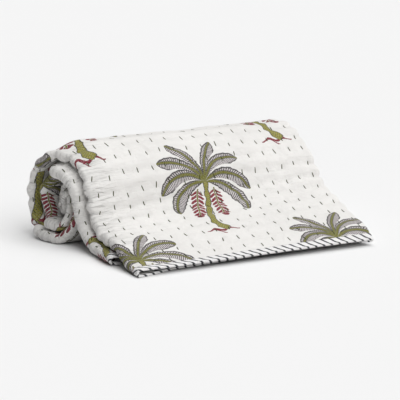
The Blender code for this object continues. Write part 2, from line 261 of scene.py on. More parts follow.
class Column:
    """The doubled and rolled strip at one distance from its left fold."""

    def __init__(self, x):
        share = x / STRIP_WIDTH
        table = spline(np.array(ROLL, float) * MM, SPLINE_STEPS)
        outer = table[:, 0:2] * (1 - share) + table[:, 2:4] * share
        swell = ease(x, *SWELL_ENDS[:2]) * (1 - ease(x, SWELL_ENDS[2], STRIP_WIDTH))
        outer[:, 1] *= 1 + ROLL_SWELL * swell * ease(outer[:, 1], *SWELL_HEIGHTS)
        length = arc(outer)
        even = np.linspace(0, length[-1], PATH_POINTS)
        outer = np.stack([np.interp(even, length, outer[:, k]) for k in (0, 1)], -1)
        slip, inner_slip, puff, inner_puff, parting = (
            np.interp(even, length, table[:, k]) for k in (4, 5, 6, 7, 8))
        outer = self.settled(outer, leaf_pitch(x, puff) + LEAF / 2)
        apart = leaf_pitch(x - SLIP_REACH, puff) + leaf_pitch(x - SLIP_REACH, inner_puff)
        apart += LEAF + PACK_GAP + parting * (1 - share)
        inner = self.settled(outer - apart[:, None] * normals(outer),
                             leaf_pitch(x, inner_puff) + LEAF / 2)
        core = int(CORE_SHARE * PATH_POINTS)
        inner[core:] = relax(inner[core:], CORE_PASSES)
        hem_y = HEM_LEFT * (1 - share) + HEM_RIGHT * share
        hem = np.argmax(inner[:, 0] > hem_y)
        loop = self.loop(outer, inner[-1])
        turned = np.linspace(0, 1, len(loop))
        self.point = np.vstack([outer, loop, inner[hem:][::-1]])
        self.slip = np.r_[slip, slip[-1] + (inner_slip[-1] - slip[-1]) * turned,
                          inner_slip[hem:][::-1]]
        self.puff = np.r_[puff, puff[-1] + (inner_puff[-1] - puff[-1]) * turned,
                          inner_puff[hem:][::-1]]
        self.normal = normals(self.point)
        run = arc(self.point)
        give = (CLOTH_LENGTH - SHOWN) / (run[-1] - SHOWN)
        self.cloth = np.where(run < SHOWN, run, SHOWN + (run - SHOWN) * give)

    @staticmethod
    def settled(curve, half):
        """A middle line that is smooth and lies on the surface below."""
        for _ in range(SETTLE_ROUNDS):
            curve = relax(curve, SETTLE_PASSES)
            curve[:, 1] = np.maximum(curve[:, 1], half)
        return curve

    @staticmethod
    def loop(outer, inner_end):
        """Half circle that joins the two packs at the core."""
        middle = (outer[-1] + inner_end) / 2
        across = outer[-1] - middle
        onward = np.array([across[1], -across[0]])
        if onward @ (outer[-1] - outer[-6]) < 0:
            onward = -onward
        turn = np.linspace(0, pi, LOOP_POINTS)[1:-1, None]
        return middle + np.cos(turn) * across + np.sin(turn) * onward

    def at(self, s, name):
        """One of the column's values at cloth length s."""
        values = getattr(self, name)
        if values.ndim == 1:
            return np.interp(s, self.cloth, values)
        return np.stack([np.interp(s, self.cloth, values[:, k]) for k in (0, 1)], -1)


# ---- the section across the strip ------------------------------------------------------
# A station's place in the strip, the leaf that it is on or the fold and how far round it,
# and how far across the flat cloth it lies from the left fold.
Station = namedtuple("Station", "x leaf fold turn across")


def across_strip():
    """Stations from the middle leaf's free edge, over the top leaf, to the bottom's."""
    top = np.linspace(LEAF_START, LEAF_END, TOP_STATIONS)
    under = np.linspace(LEAF_START, LEAF_END, UNDER_STATIONS)
    right_round = LEAF_PITCH / 2
    past_right = LEAF_END + pi * right_round
    past_left = FOLD_ROUND - pi * FOLD_ROUND
    out = [Station(x, 2, None, 0, past_right + LEAF_END - x) for x in under[1:]]
    for k in range(1, RIGHT_FOLD_STEPS):
        turn = pi * k / RIGHT_FOLD_STEPS
        out.append(Station(LEAF_END, 0, "right", turn, past_right - right_round * turn))
    out += [Station(x, 1, None, 0, x) for x in top[::-1]]
    for k in range(1, LEFT_FOLD_STEPS):
        turn = pi * k / LEFT_FOLD_STEPS
        out.append(Station(0.0, 0, "left", turn, FOLD_ROUND - FOLD_ROUND * turn))
    out += [Station(x, 3, None, 0, past_left + FOLD_ROUND - x)
            for x in [*under, LOWER_EDGE]]
    return out


def section_place(station, puff):
    """x and height of a station's middle surface in the pack, and its outward normal."""
    pitch = leaf_pitch(station.x, puff)
    zero, one = 0 * pitch, 1 + 0 * pitch
    if station.fold == "right":
        r = pitch / 2
        return (station.x + r * sin(station.turn), r - r * cos(station.turn),
                sin(station.turn) * one, -cos(station.turn) * one)
    if station.fold == "left":
        return (pitch - pitch * sin(station.turn), pitch * cos(station.turn),
                -sin(station.turn) * one, cos(station.turn) * one)
    height = {1: pitch, 2: zero, 3: -pitch}[station.leaf]
    outward = one if station.leaf == 1 else -one
    return station.x + zero, height, zero, outward


def under_share(station):
    """0 on the top leaf and the folds, growing to 1 on the two leaves under it."""
    if station.leaf == 2:
        return 1 - ease(station.x, STRIP_WIDTH - SETBACK_REACH, LEAF_END)
    if station.leaf == 3:
        return ease(station.x, 0, SETBACK_REACH)
    return 0.0


def cloth_surface(stations, rows, lift):
    """Points of the folded and rolled cloth, one row of points for each cloth length in
    rows. lift, one value for each point, holds them off the cloth's middle."""
    columns = {x: Column(x) for x in {station.x for station in stations}}
    grid = np.empty((len(rows), len(stations), 3))
    for i, station in enumerate(stations):
        column = columns[station.x]
        s = rows + SETBACK * under_share(station) * (1 - ease(rows, 0, SETBACK_RUN))
        x, height, normal_x, normal_n = section_place(station, column.at(s, "puff"))
        normal = column.at(s, "normal")
        middle = column.at(s, "point") + height[:, None] * normal
        middle[:, 1] = np.maximum(middle[:, 1], LEAF / 2)
        grid[:, i, 0] = x + lift[:, i] * normal_x + column.at(s, "slip")
        grid[:, i, 1:] = middle + (lift[:, i] * normal_n)[:, None] * normal
    return grid + np.array(HEM_CORNER)


# ---- how the print lies on the cloth ---------------------------------------------------
# Each is how far the print is off, and the runs across and along over which that comes
# and goes: at the right, at the top right, and at the left end of the roll.
PRINT_RIGHT, RIGHT_RUN = 20 * MM, (310 * MM, 430 * MM)
PRINT_UPPER, UPPER_RUN, UPPER_ROWS = (19 * MM, 14 * MM), (370 * MM, 430 * MM), (220 * MM, 300 * MM)
PRINT_ROLLED, ROLLED_RUN, ROLLED_ROWS = 28 * MM, (100 * MM, 260 * MM), (330 * MM, 450 * MM)
WANDER_RUN, INSIDE_ROWS = (5 * MM, 60 * MM), (850 * MM, 1000 * MM)

# How the print lies at the left fold, in mm: the length along the cloth, and how far the
# print's places are then off across it and along it.
FOLD_WANDER = [
    (350, 0, 0),
    (405, 0, 17),
    (450, 27, 27),
    (463, -127, 177),
    (590, -127, -17),
    (640, -85, -31),
    (780, -119, -86),
    (1276, -96, -87),
    (1732, -72, -87),
]

# ---- the hand quilting -----------------------------------------------------------------
FIRST_LINE = 16 * MM        # of stitches, from the left fold
STITCH_SEED = 11
STITCH_GRID = (60, 60)      # more lines and rows than the cloth has
LINE_WANDER, ROW_WANDER = 1.6 * MM, 3.2 * MM
SLANT = 0.24                # most that a stitch leans
STITCH_LENGTHS = (0.8, 1.12)
LAST_STITCH = 20 * MM       # from the back hem
HIDDEN_LINES = 70 * MM      # lines of stitches past that don't show inside the roll
STITCH_SIDES = 6
STITCH_RINGS = np.array([-0.5, -0.44, -0.2, 0.0, 0.2, 0.44, 0.5])
STITCH_GIRTH = np.array([0.35, 0.9, 1.0, 1.0, 1.0, 0.9, 0.35])
STITCH_RISE = np.array([-1.1, -0.25, 0.15, 0.2, 0.15, -0.25, -1.1])
THREAD_FLATNESS = 0.62

RIDGE_FULLNESS = 0.6        # below 1 the valleys are narrower than the ridges
RIDGE_STRENGTH, RIDGE_AT_FOLD = 0.75, 0.55
LEFT_FOLD_REACH, RIGHT_FOLD_REACH = 28 * MM, 20 * MM
DIMPLE_WIDTH, DIMPLE_LENGTH = 5 * MM, 0.75     # the length is a share of the stitch
QUILTED = (17 * MM, 40 * MM)    # no ridges on the bound hem
FLAT_FOOT, FOOT_SHARE = (80 * MM, 200 * MM), 0.4
SAG_ROWS, SAG_LENGTH = (60 * MM, 200 * MM), 0.35
HIDDEN_RELIEF, HIDDEN_BLEND = 0.25, 60 * MM    # inside the roll
GATHER_REACH, GATHER_ROWS = 18 * MM, (20 * MM, 60 * MM)

# Slow hand-made unevenness: how high it is, its seed, and how long its bumps are.
Uneven = namedtuple("Uneven", "height seed size")
ROW_WANDERS = Uneven(0.09, 3, 90 * MM)
RIDGE_VARIES = Uneven(0.35, 5, 120 * MM)
CRUMPLE = Uneven(0.35 * MM, 7, 42 * MM)
SAG = Uneven(0.8 * MM, 9, 170 * MM)
FOLD_GATHER = Uneven(1.5 * MM, 13, 24 * MM)
BINDING_GATHER = Uneven(1, 21, 19 * MM)
WAVE_COUNT, WAVE_SCALES = 6, (0.7, 1.6)


def waves(u, v, uneven):
    """Unevenness at places across and along the cloth, as much up as down."""
    rng = np.random.default_rng(uneven.seed)
    total = 0 * (u + v)
    for _ in range(WAVE_COUNT):
        angle, phase = rng.uniform(0, 2 * pi), rng.uniform(0, 2 * pi)
        turn = 2 * pi * rng.uniform(*WAVE_SCALES) / uneven.size
        total = total + np.sin((u * cos(angle) + v * sin(angle)) * turn + phase)
    return uneven.height * total / (WAVE_COUNT / 2)


def stitch_wander():
    """How far each stitch lies off its even place, across and along, and how it leans."""
    rng = np.random.default_rng(STITCH_SEED)
    return (rng.normal(0, LINE_WANDER, STITCH_GRID), rng.normal(0, ROW_WANDER, STITCH_GRID),
            rng.uniform(-SLANT, SLANT, STITCH_GRID), rng.uniform(*STITCH_LENGTHS, STITCH_GRID))


def quilting_relief(u, v, quilting):
    """Height of the cloth's face at places across and along it: soft ridges between the
    rows of stitches, dimples at the stitches and fine unevenness."""
    line_off, row_off, _, _ = stitch_wander()
    line = np.round((u - FIRST_LINE) / quilting.line_pitch).astype(int)
    row = np.round(v / quilting.row_pitch).astype(int)
    index = (line % STITCH_GRID[0], row % STITCH_GRID[1])
    du = u - FIRST_LINE - line * quilting.line_pitch - line_off[index]
    dv = v - row * quilting.row_pitch - row_off[index]
    dimple = np.exp(-(du / DIMPLE_WIDTH)**2 - (dv / (DIMPLE_LENGTH * quilting.stitch))**2)
    phase = v / quilting.row_pitch + waves(u, v, ROW_WANDERS)
    ridge = (0.5 - 0.5 * np.cos(2 * pi * phase))**RIDGE_FULLNESS
    strength = RIDGE_STRENGTH + waves(u, v, RIDGE_VARIES)
    strength = strength * (FOOT_SHARE + (1 - FOOT_SHARE) * ease(v, *FLAT_FOOT))
    at_fold = (np.exp(-np.maximum(u, 0) / LEFT_FOLD_REACH)
               + np.exp(-np.maximum(LEAF_END - u, 0) / RIGHT_FOLD_REACH))
    height = quilting.ridge * ridge * strength * (1 + RIDGE_AT_FOLD * at_fold)
    height = height - quilting.dimple * dimple + waves(u, v, CRUMPLE)
    height = height + waves(u, SAG_LENGTH * v, SAG) * ease(v, *SAG_ROWS)
    return height * ease(v, *QUILTED)


# ---- meshes ----------------------------------------------------------------------------
def flat_cloth(name, across, along):
    """A flat grid of cloth with that many points across and along."""
    bpy.ops.object.select_all(action="DESELECT")
    bpy.ops.mesh.primitive_grid_add(x_subdivisions=across - 1, y_subdivisions=along - 1,
                                    size=1, calc_uvs=True)
    cloth = bpy.context.active_object
    cloth.name = cloth.data.name = name
    return cloth


def lay_out(cloth, grid, **places):
    """Put the flat cloth's points where the folded cloth has them, with one UV map of
    that name for each set of places on the flat cloth, in metres."""
    mesh = cloth.data
    mesh.vertices.foreach_set("co", grid.reshape(-1).astype(np.float32))
    corners = np.empty(len(mesh.loops), np.int32)
    mesh.loops.foreach_get("vertex_index", corners)
    mesh.uv_layers.remove(mesh.uv_layers[0])
    for name, flat in places.items():
        layer = mesh.uv_layers.new(name=name)
        layer.data.foreach_set("uv", flat.reshape(-1, 2)[corners].reshape(-1).astype(np.float32))
    mesh.update()


def thicken(cloth, thickness, weights=None):
    """Give the sheet its thickness, thinner where weights are below 1, and press flat
    what then touches the surface that the quilt lies on."""
    solid = cloth.modifiers.new("Thickness", "SOLIDIFY")
    solid.thickness = thickness
    solid.offset = 0
    solid.use_rim = True
    if weights is not None:
        group = cloth.vertex_groups.new(name="Padding")
        for index, weight in enumerate(weights):
            group.add([index], weight, "REPLACE")
        solid.vertex_group = group.name
    bpy.context.view_layer.objects.active = cloth
    bpy.ops.object.modifier_apply(modifier=solid.name)
    cloth.vertex_groups.clear()
    for vertex in cloth.data.vertices:
        if vertex.co.z < PRESSED:
            vertex.co.z = 0.0
    cloth.data.shade_smooth()


def quilt_rows():
    """Cloth lengths of the quilt's mesh rows: close where it shows."""
    nose = EDGE_LEAF / 2 + TOUCH_GAP + BINDING_CLOTH
    hem = [nose + NOSE_CLEAR, BINDING_DEPTH / 2, BINDING_DEPTH]
    shown = np.arange(BINDING_DEPTH + FINE_STEP, FINE_RUN, FINE_STEP)
    last = CLOTH_LENGTH - BINDING_DEPTH - COARSE_STEP
    hidden = np.linspace(FINE_RUN, last, int((last - FINE_RUN) / COARSE_STEP))
    back = [CLOTH_LENGTH - s for s in reversed(hem)]
    return np.array([*hem, *shown, *hidden, *back])


def shown_share(stations):
    """1 on the top leaf and the folds, 0 on the leaves under it."""
    return np.array([1.0 if station.leaf in (0, 1) else 0.0 for station in stations])


def quilt_grid(stations, rows, quilting):
    """Middle surface of the quilted cloth."""
    across = np.array([station.across for station in stations])
    relief = quilting_relief(across[None, :], rows[:, None], quilting)
    hidden = ease(rows, FINE_RUN - HIDDEN_BLEND, FINE_RUN + HIDDEN_BLEND)
    inside = 1 - (1 - HIDDEN_RELIEF) * hidden
    lift = relief * shown_share(stations)[None, :] * inside[:, None]
    grid = cloth_surface(stations, rows, lift)
    near_fold = np.exp(-((across - FOLD_ROUND / 2) / GATHER_REACH)**2)
    gather = waves(0, rows, FOLD_GATHER) * ease(rows, *GATHER_ROWS)
    grid[:, :, 0] += gather[:, None] * near_fold[None, :]
    return grid


def flat_places(across, along):
    """Places of a cloth's points when it lies flat."""
    return np.stack(np.broadcast_arrays(across[None, :], along[:, None]), -1)


def printed_places(across, along):
    """The same for the print, which hand blocks and the cloth's stretch put off its even
    places: nearer together at the right, and aslant over the roll's left end. Inside the
    roll the fold wanders across the print."""
    flat = flat_places(across, along)
    u, v = flat[..., 0], flat[..., 1]
    right = PRINT_RIGHT * ease(u, *RIGHT_RUN)
    upper = ease(u, *UPPER_RUN) * ease(v, *UPPER_ROWS)
    rolled = PRINT_ROLLED * (1 - ease(u, *ROLLED_RUN)) * ease(v, *ROLLED_ROWS)
    inside = np.maximum(1 - ease(u, *WANDER_RUN), ease(v, *INSIDE_ROWS))
    length, wander_across, wander_along = np.array(FOLD_WANDER, float).T * MM
    off_across = right - rolled - PRINT_UPPER[0] * upper
    off_across += inside * np.interp(v, length, wander_across)
    off_along = inside * np.interp(v, length, wander_along) - PRINT_UPPER[1] * upper
    return np.stack([u + off_across, v + off_along], -1)


class Surface:
    """The folded cloth's middle surface, read at any place across and along it."""

    def __init__(self, stations, rows, grid):
        self.across = np.array([station.across for station in stations])[::-1]
        self.rows = rows
        grid = grid[:, ::-1]
        along_way = np.gradient(grid, axis=0)
        across_way = np.gradient(grid, axis=1)
        out = np.cross(across_way, along_way)
        out /= np.maximum(np.linalg.norm(out, axis=2), 1e-12)[:, :, None]
        self.table = np.concatenate([grid, out], 2)

    def at(self, u, v):
        """Points and outward normals."""
        i = np.clip(np.searchsorted(self.across, u) - 1, 0, len(self.across) - 2)
        j = np.clip(np.searchsorted(self.rows, v) - 1, 0, len(self.rows) - 2)
        a = ((u - self.across[i]) / (self.across[i + 1] - self.across[i]))[:, None]
        b = ((v - self.rows[j]) / (self.rows[j + 1] - self.rows[j]))[:, None]
        t = self.table
        found = ((1 - a) * (1 - b) * t[j, i] + a * (1 - b) * t[j, i + 1]
                 + (1 - a) * b * t[j + 1, i] + a * b * t[j + 1, i + 1])
        return found[:, :3], found[:, 3:]


def stitch_mesh(surface, quilting):
    """Vertices and faces of all the stitches that show, each a short run of thread that
    dives into the cloth at both ends."""
    line_off, row_off, lean, long = stitch_wander()
    radius = quilting.thread / 2
    points, faces = [], []
    turn = np.linspace(0, 2 * pi, STITCH_SIDES, endpoint=False)[:, None]
    turn_across, turn_out = np.cos(turn), np.sin(turn)
    lines = int((LEAF_END - FIRST_LINE) / quilting.line_pitch) + 1
    for line in range(-1, lines):
        for row in range(1, int((CLOTH_LENGTH - LAST_STITCH) / quilting.row_pitch)):
            index = (line % STITCH_GRID[0], row % STITCH_GRID[1])
            u = FIRST_LINE + line * quilting.line_pitch + line_off[index]
            v = row * quilting.row_pitch + row_off[index]
            if v > FINE_RUN and u > HIDDEN_LINES:
                continue
            run = STITCH_RINGS * quilting.stitch * long[index]
            place, out = surface.at(u + run * lean[index], v + run)
            way = np.gradient(place, axis=0)
            side = np.cross(way, out)
            side /= np.linalg.norm(side, axis=1)[:, None]
            centre = place + out * (LEAF / 2 + STITCH_RISE * radius)[:, None]
            girth = radius * STITCH_GIRTH[:, None, None]
            tube = (centre[:, None] + girth * turn_across * side[:, None]
                    + girth * THREAD_FLATNESS * turn_out * out[:, None])
            tube[..., 2] += max(0.0, -tube[..., 2].min())   # pressed in under the roll
            faces += tube_faces(len(points) * len(run) * STITCH_SIDES, len(run), STITCH_SIDES)
            points.append(tube.reshape(-1, 3))
    return np.vstack(points), faces


def tube_faces(first, rings, sides):
    """Faces of a closed tube whose rings of points follow each other."""
    faces = [list(range(first, first + sides))[::-1]]
    for k in range(rings - 1):
        for m in range(sides):
            a = first + k * sides + m
            b = first + k * sides + (m + 1) % sides
            faces.append([a, b, b + sides, a + sides])
    last = first + (rings - 1) * sides
    faces.append(list(range(last, last + sides)))
    return faces


def binding_rows(from_front):
    """Where the bias strip's points lie along the cloth, how far off its middle, and
    how far across the strip they are."""
    hold_off = EDGE_LEAF / 2 + TOUCH_GAP + BINDING_CLOTH / 2
    nose = hold_off + BINDING_CLOTH / 2
    flat = np.linspace(BINDING_DEPTH, nose, BINDING_FLAT_STEPS, endpoint=False)
    turns = np.linspace(0, pi, BINDING_TURN_STEPS + 1)
    rows = np.r_[flat, nose - hold_off * np.sin(turns), flat[::-1]]
    offsets = np.r_[0 * flat - hold_off, -hold_off * np.cos(turns), 0 * flat + hold_off]
    strip = arc(np.stack([rows, offsets], -1))
    if from_front:
        return rows, offsets, strip[-1] - strip
    return CLOTH_LENGTH - rows, -offsets, strip[-1] - strip


# ---- materials -------------------------------------------------------------------------
MIX_A, MIX_B, MIX_RESULT = 6, 7, 2      # sockets of a Mix node that mixes colours
PICK_A, PICK_B, PICK_RESULT = 4, 5, 1   # and of one that mixes vectors
WAVE_WIDTH = 2 * pi / 20                # of a band of a wave texture, in metres, at scale 1


def add(tree, kind, *values, at=None, **settings):
    """One shader node with its settings. kind is what it is and, after a space, its
    operation if it has one. Its inputs take, in order or by the name or index in at, a
    node's first output, a socket or a plain value."""
    kind, _, operation = kind.partition(" ")
    made = tree.nodes.new("ShaderNode" + kind)
    if operation:
        made.operation = operation
    for name, value in settings.items():
        setattr(made, name, value)
    for index, value in [*enumerate(values), *(at or {}).items()]:
        if isinstance(value, bpy.types.Node):
            value = value.outputs[0]
        if isinstance(value, bpy.types.NodeSocket):
            tree.links.new(value, made.inputs[index])
        elif value is not None:
            made.inputs[index].default_value = value
    return made


def plug(source, target):
    """Link one socket to another of the same tree."""
    target.id_data.links.new(source, target)


def inked(node, colour, *layers):
    """A colour under layers of ink, each the share that it covers and its own colour."""
    for share, ink in layers:
        over = node("Mix", share, at={MIX_A: colour, MIX_B: ink}, data_type="RGBA")
        colour = over.outputs[MIX_RESULT]
    return colour


def per(millimetres):
    """Scale of a noise whose bumps are that wide."""
    return 1 / (millimetres * MM)


# ---- the printed palm, in mm from its crown --------------------------------------------
# A range, as a MapRange node takes it, holds a place, a second place and the values there.
FIRST_PALM = (251 * MM, 257 * MM, 0)    # one palm's crown, across and along the cloth
PALM_BELOW = 240 * MM                   # the part of a palm's place below its crown
BLOCK_SHAKE = (2 * MM,) * 3             # unevenness of the blocks' outlines

# A frond starts at the crown: its heading from straight up, clockwise, the radius that it
# bends down on, its length and half its width. A minus radius bends to the left.
Frond = namedtuple("Frond", "heading radius length half_width")
FRONDS = [
    Frond(1, 115, 94, 13),
    Frond(-14, -125, 108, 12),
    Frond(-31, -92, 114, 14.5),
    Frond(-46, -60, 118, 15),
    Frond(-83, -64, 122, 15),
    Frond(15, 62, 108, 13.5),
    Frond(49, 62, 124, 15),
    Frond(86, 68, 138, 14.5),
]
ON_FROND = 100.0                        # taken off the score between a frond's two ends
# The rest of a frond is in shares of its length or of half its width.
FROND_SWELL, FROND_TAPER = 0.95, 0.6    # powers of the share from each end
FROND_FULLNESS, FROND_RIPPLE, RIPPLE_TURNS = 2.9, 0.12, 55.0
FROND_UPPER, FROND_LOWER = 0.72, 1.28   # the midrib lies nearer to the upper rim
FROND_EDGE = (-0.05, 0.03, 0.0, 1.0)
FROND_OUTLINE = (0.13, 0.22, 1.0, 0.0)
FROND_VEINS, VEIN_SLOPE, VEIN_SHARE = 27.0, -1.5, (0.36, 0.48, 1.0, 0.0)
RIB_WIDTH = (0.0, 1.0, 0.17, 0.1)
RIB_EDGE, RIB_LINE = (-0.08, 0.04, 0.0, 1.0), (-0.17, -0.1, 0.0, 0.8)

# A bunch of berries hangs from beside the crown: where it starts, how many degrees it
# hangs to the right of straight down, and its length.
Bunch = namedtuple("Bunch", "x y lean length")
BUNCHES = [Bunch(-19, -14, -12, 80), Bunch(17, -14, -2, 82)]
DROP_PITCH, DROP_SLOPE, DROP_START = 11.0, -0.75, 3.0
DROP_REACH = (4.0, 16.0, 7.0, 14.0)
DROP_GAP = (0.0, 3.5, 0.5, 0.14)        # share of the pitch, wider at a drop's round end
STEM_HALF, STEM_CLEAR = 1.5, 1.9
BULB_BELOW, BULB_RADIUS = 5.0, 7.5

TRUNK_LENGTH, TRUNK_FOOT = 158.0, 161.0
TRUNK_LEAN, TRUNK_BACK = (20.0, 124.0, 0.0, -20.0), (124.0, 164.0, 0.0, 12.0)
TRUNK_HALF, TRUNK_KNOB = (0.0, 140.0, 5.2, 7.6), (132.0, 150.0, 0.0, 4.5)
TRUNK_END = (TRUNK_LENGTH - 7.0, TRUNK_FOOT, 1.0, 0.2)
KNOT_TURNS, KNOT_BULGE = 0.26, 0.9
TRUNK_EDGE, TRUNK_OUTLINE = (-0.3, 0.3, 0.0, 1.0), (1.1, 1.9, 1.0, 0.0)
SCALE_DOWN, SCALE_SIDE, SCALE_SHARE = 1.35, 1.2, (0.25, 0.5, 0.0, 0.7)

ROOTS_LEFT, ROOTS_BELOW = 18.0, TRUNK_LENGTH + 1       # their middle, from the crown
ROOT_CURL, ROOT_WAVE = 0.2, -4.0
ROOT_REACH, ROOT_HALF = 34.0, (0.0, 34.0, 4.0, 1.6)
FORK_SLOPE, FORK_OFF, FORK_HALF = 0.8, -12.0, 2.8


def palm_place(node, setting):
    """Where a place on the cloth lies from the nearest palm's crown, in mm: rows of
    palms, each row half a repeat on from the last."""
    cloth = node("UVMap", uv_map="Cloth")
    shaky = node("TexNoise", cloth, at={"Scale": per(3.8), "Detail": 1.0})
    moved = node("VectorMath MULTIPLY_ADD", shaky.outputs["Color"], BLOCK_SHAKE, cloth)
    printed = node("Mapping", moved, FIRST_PALM, (0.0, 0.0, setting.turn),
                   vector_type="TEXTURE")
    across, along, _ = node("SeparateXYZ", printed).outputs
    half = setting.repeat / 2
    right = node("Math WRAP", across, half / 2, -half / 2)
    both = node("Math WRAP", across, half * 1.5, -half / 2)
    odd = node("Math GREATER_THAN", both, half / 2)
    above = node("Math MULTIPLY_ADD", odd, -setting.row, along)
    up = node("Math WRAP", above, 2 * setting.row - PALM_BELOW, -PALM_BELOW)
    metres = node("CombineXYZ", right, up)
    return node("VectorMath SCALE", metres, at={"Scale": 1 / MM})


def frond_group():
    """A node group that reads a place against one frond. Best holds, for the frond that
    the place is nearest to so far, the share of its length, the share of its half width
    off its midrib, and a score, the lower the nearer."""
    tree = bpy.data.node_groups.new("Frond", "ShaderNodeTree")
    for name, kind in {"Place": "Vector", "Centre": "Vector", "Turn": "Vector",
                       "Radius": "Float", "Length": "Float", "Half width": "Float",
                       "Best": "Vector"}.items():
        tree.interface.new_socket(name, in_out="INPUT", socket_type="NodeSocket" + kind)
    tree.interface.new_socket("Best", in_out="OUTPUT", socket_type="NodeSocketVector")
    given, result = tree.nodes.new("NodeGroupInput"), tree.nodes.new("NodeGroupOutput")
    node = partial(add, tree)
    place, centre, turn, radius, length, half_width, best = given.outputs[:7]
    local = node("Mapping", place, centre, turn, vector_type="TEXTURE")
    x, y, _ = node("SeparateXYZ", local).outputs
    angle = node("Math ARCTAN2", y, x)
    run = node("Math MULTIPLY", angle, radius)
    share = node("Math DIVIDE", run, length)
    away = node("VectorMath LENGTH", local)
    size = node("Math ABSOLUTE", radius)
    off = node("Math SUBTRACT", away.outputs["Value"], size)
    off_share = node("Math DIVIDE", off, half_width)
    distance = node("Math ABSOLUTE", off_share)
    on_frond = node("Math COMPARE", share, 0.5, 0.5)
    score = node("Math MULTIPLY_ADD", on_frond, -ON_FROND, distance)
    mine = node("CombineXYZ", share, off_share, score)
    best_score = node("SeparateXYZ", best).outputs[2]
    nearer = node("Math LESS_THAN", score, best_score)
    chosen = node("Mix", nearer, at={PICK_A: best, PICK_B: mine}, data_type="VECTOR")
    plug(chosen.outputs[PICK_RESULT], result.inputs[0])
    return tree


def frond_rim(node, share, off):
    """Half width of a frond at that share of its length, on that side of its midrib."""
    left = node("Math SUBTRACT", 1.0, share)
    swell = node("Math POWER", share, FROND_SWELL)
    taper = node("Math POWER", left, FROND_TAPER)
    both = node("Math MULTIPLY", swell, taper)
    ripple = node("Math MULTIPLY", share, RIPPLE_TURNS)
    wave = node("Math SINE", ripple)
    full = node("Math MULTIPLY_ADD", wave, FROND_RIPPLE, FROND_FULLNESS)
    width = node("Math MULTIPLY", both, full)
    lower = node("Math LESS_THAN", off, 0.0)
    side = node("Math MULTIPLY_ADD", lower, FROND_LOWER - FROND_UPPER, FROND_UPPER)
    return node("Math MULTIPLY", width, side)


def print_fronds(node, place, setting):
    """The palm's fronds: outlined, hatched with veins off an olive midrib."""
    group = frond_group()
    best = (0.0, 0.0, ON_FROND)
    for frond in FRONDS:
        heading = radians(frond.heading)
        centre = (frond.radius * cos(heading), -frond.radius * sin(heading), 0.0)
        start = atan2(-centre[1], -centre[0])
        best = node("Group", place, centre, (0.0, 0.0, start), -frond.radius, frond.length,
                    frond.half_width, best, node_tree=group)
    along, off, score = node("SeparateXYZ", best).outputs
    share = node("Clamp", along, 0.0, 1.0)
    distance = node("Math ABSOLUTE", off)
    inward = node("Math SUBTRACT", frond_rim(node, share, off), distance)
    on_frond = node("Math LESS_THAN", score, -ON_FROND / 2)
    inside, outline = (node("MapRange", inward, *run) for run in (FROND_EDGE, FROND_OUTLINE))
    mask = node("Math MULTIPLY", inside, on_frond)
    count = node("Math MULTIPLY", share, FROND_VEINS)
    slope = node("Math MULTIPLY_ADD", distance, VEIN_SLOPE, count)
    tooth = node("Math FRACT", slope)
    vein = node("MapRange", tooth, *VEIN_SHARE)
    rib_width = node("MapRange", share, *RIB_WIDTH)
    rib_edge = node("Math SUBTRACT", rib_width, distance)
    rib, rib_line = (node("MapRange", rib_edge, *run) for run in (RIB_EDGE, RIB_LINE))
    dark = node("Math MAXIMUM", vein, outline)
    dark = node("Math MAXIMUM", dark, rib_line)
    return mask, inked(node, (*setting.frond, 1), (dark, (*setting.vein, 1)),
                       (rib, (*setting.olive, 1)))


def print_berries(node, place, setting, bunch):
    """One bunch of berries: pairs of slanting crimson drops on an olive stem."""
    turn = (0.0, 0.0, radians(bunch.lean - 90))
    local = node("Mapping", place, (bunch.x, bunch.y, 0.0), turn, vector_type="TEXTURE")
    down, side, _ = node("SeparateXYZ", local).outputs
    off = node("Math ABSOLUTE", side)
    slanted = node("Math MULTIPLY_ADD", off, DROP_SLOPE, down)
    steps = node("Math DIVIDE", slanted, DROP_PITCH)
    from_gap = node("Math PINGPONG", steps, 0.5)
    reach = node("MapRange", down, *DROP_REACH)
    from_end = node("Math SUBTRACT", reach, off)
    gap = node("MapRange", from_end, *DROP_GAP)
    mask = node("Math GREATER_THAN", from_gap, gap)
    clear = node("Math GREATER_THAN", off, STEM_CLEAR)
    started = node("Math GREATER_THAN", slanted, DROP_START)
    hanging = node("Math COMPARE", down, bunch.length / 2, bunch.length / 2)
    for part in (clear, started, hanging):
        mask = node("Math MULTIPLY", mask, part)
    tip = (bunch.length + BULB_BELOW, 0.0, 0.0)
    from_tip = node("VectorMath DISTANCE", local, tip)
    bulb = node("Math LESS_THAN", from_tip.outputs["Value"], BULB_RADIUS)
    mask = node("Math MAXIMUM", mask, bulb)
    thin = node("Math LESS_THAN", off, STEM_HALF)
    stem = node("Math MULTIPLY", thin, hanging)
    return (stem, (*setting.olive, 1)), (mask, (*setting.crimson, 1))


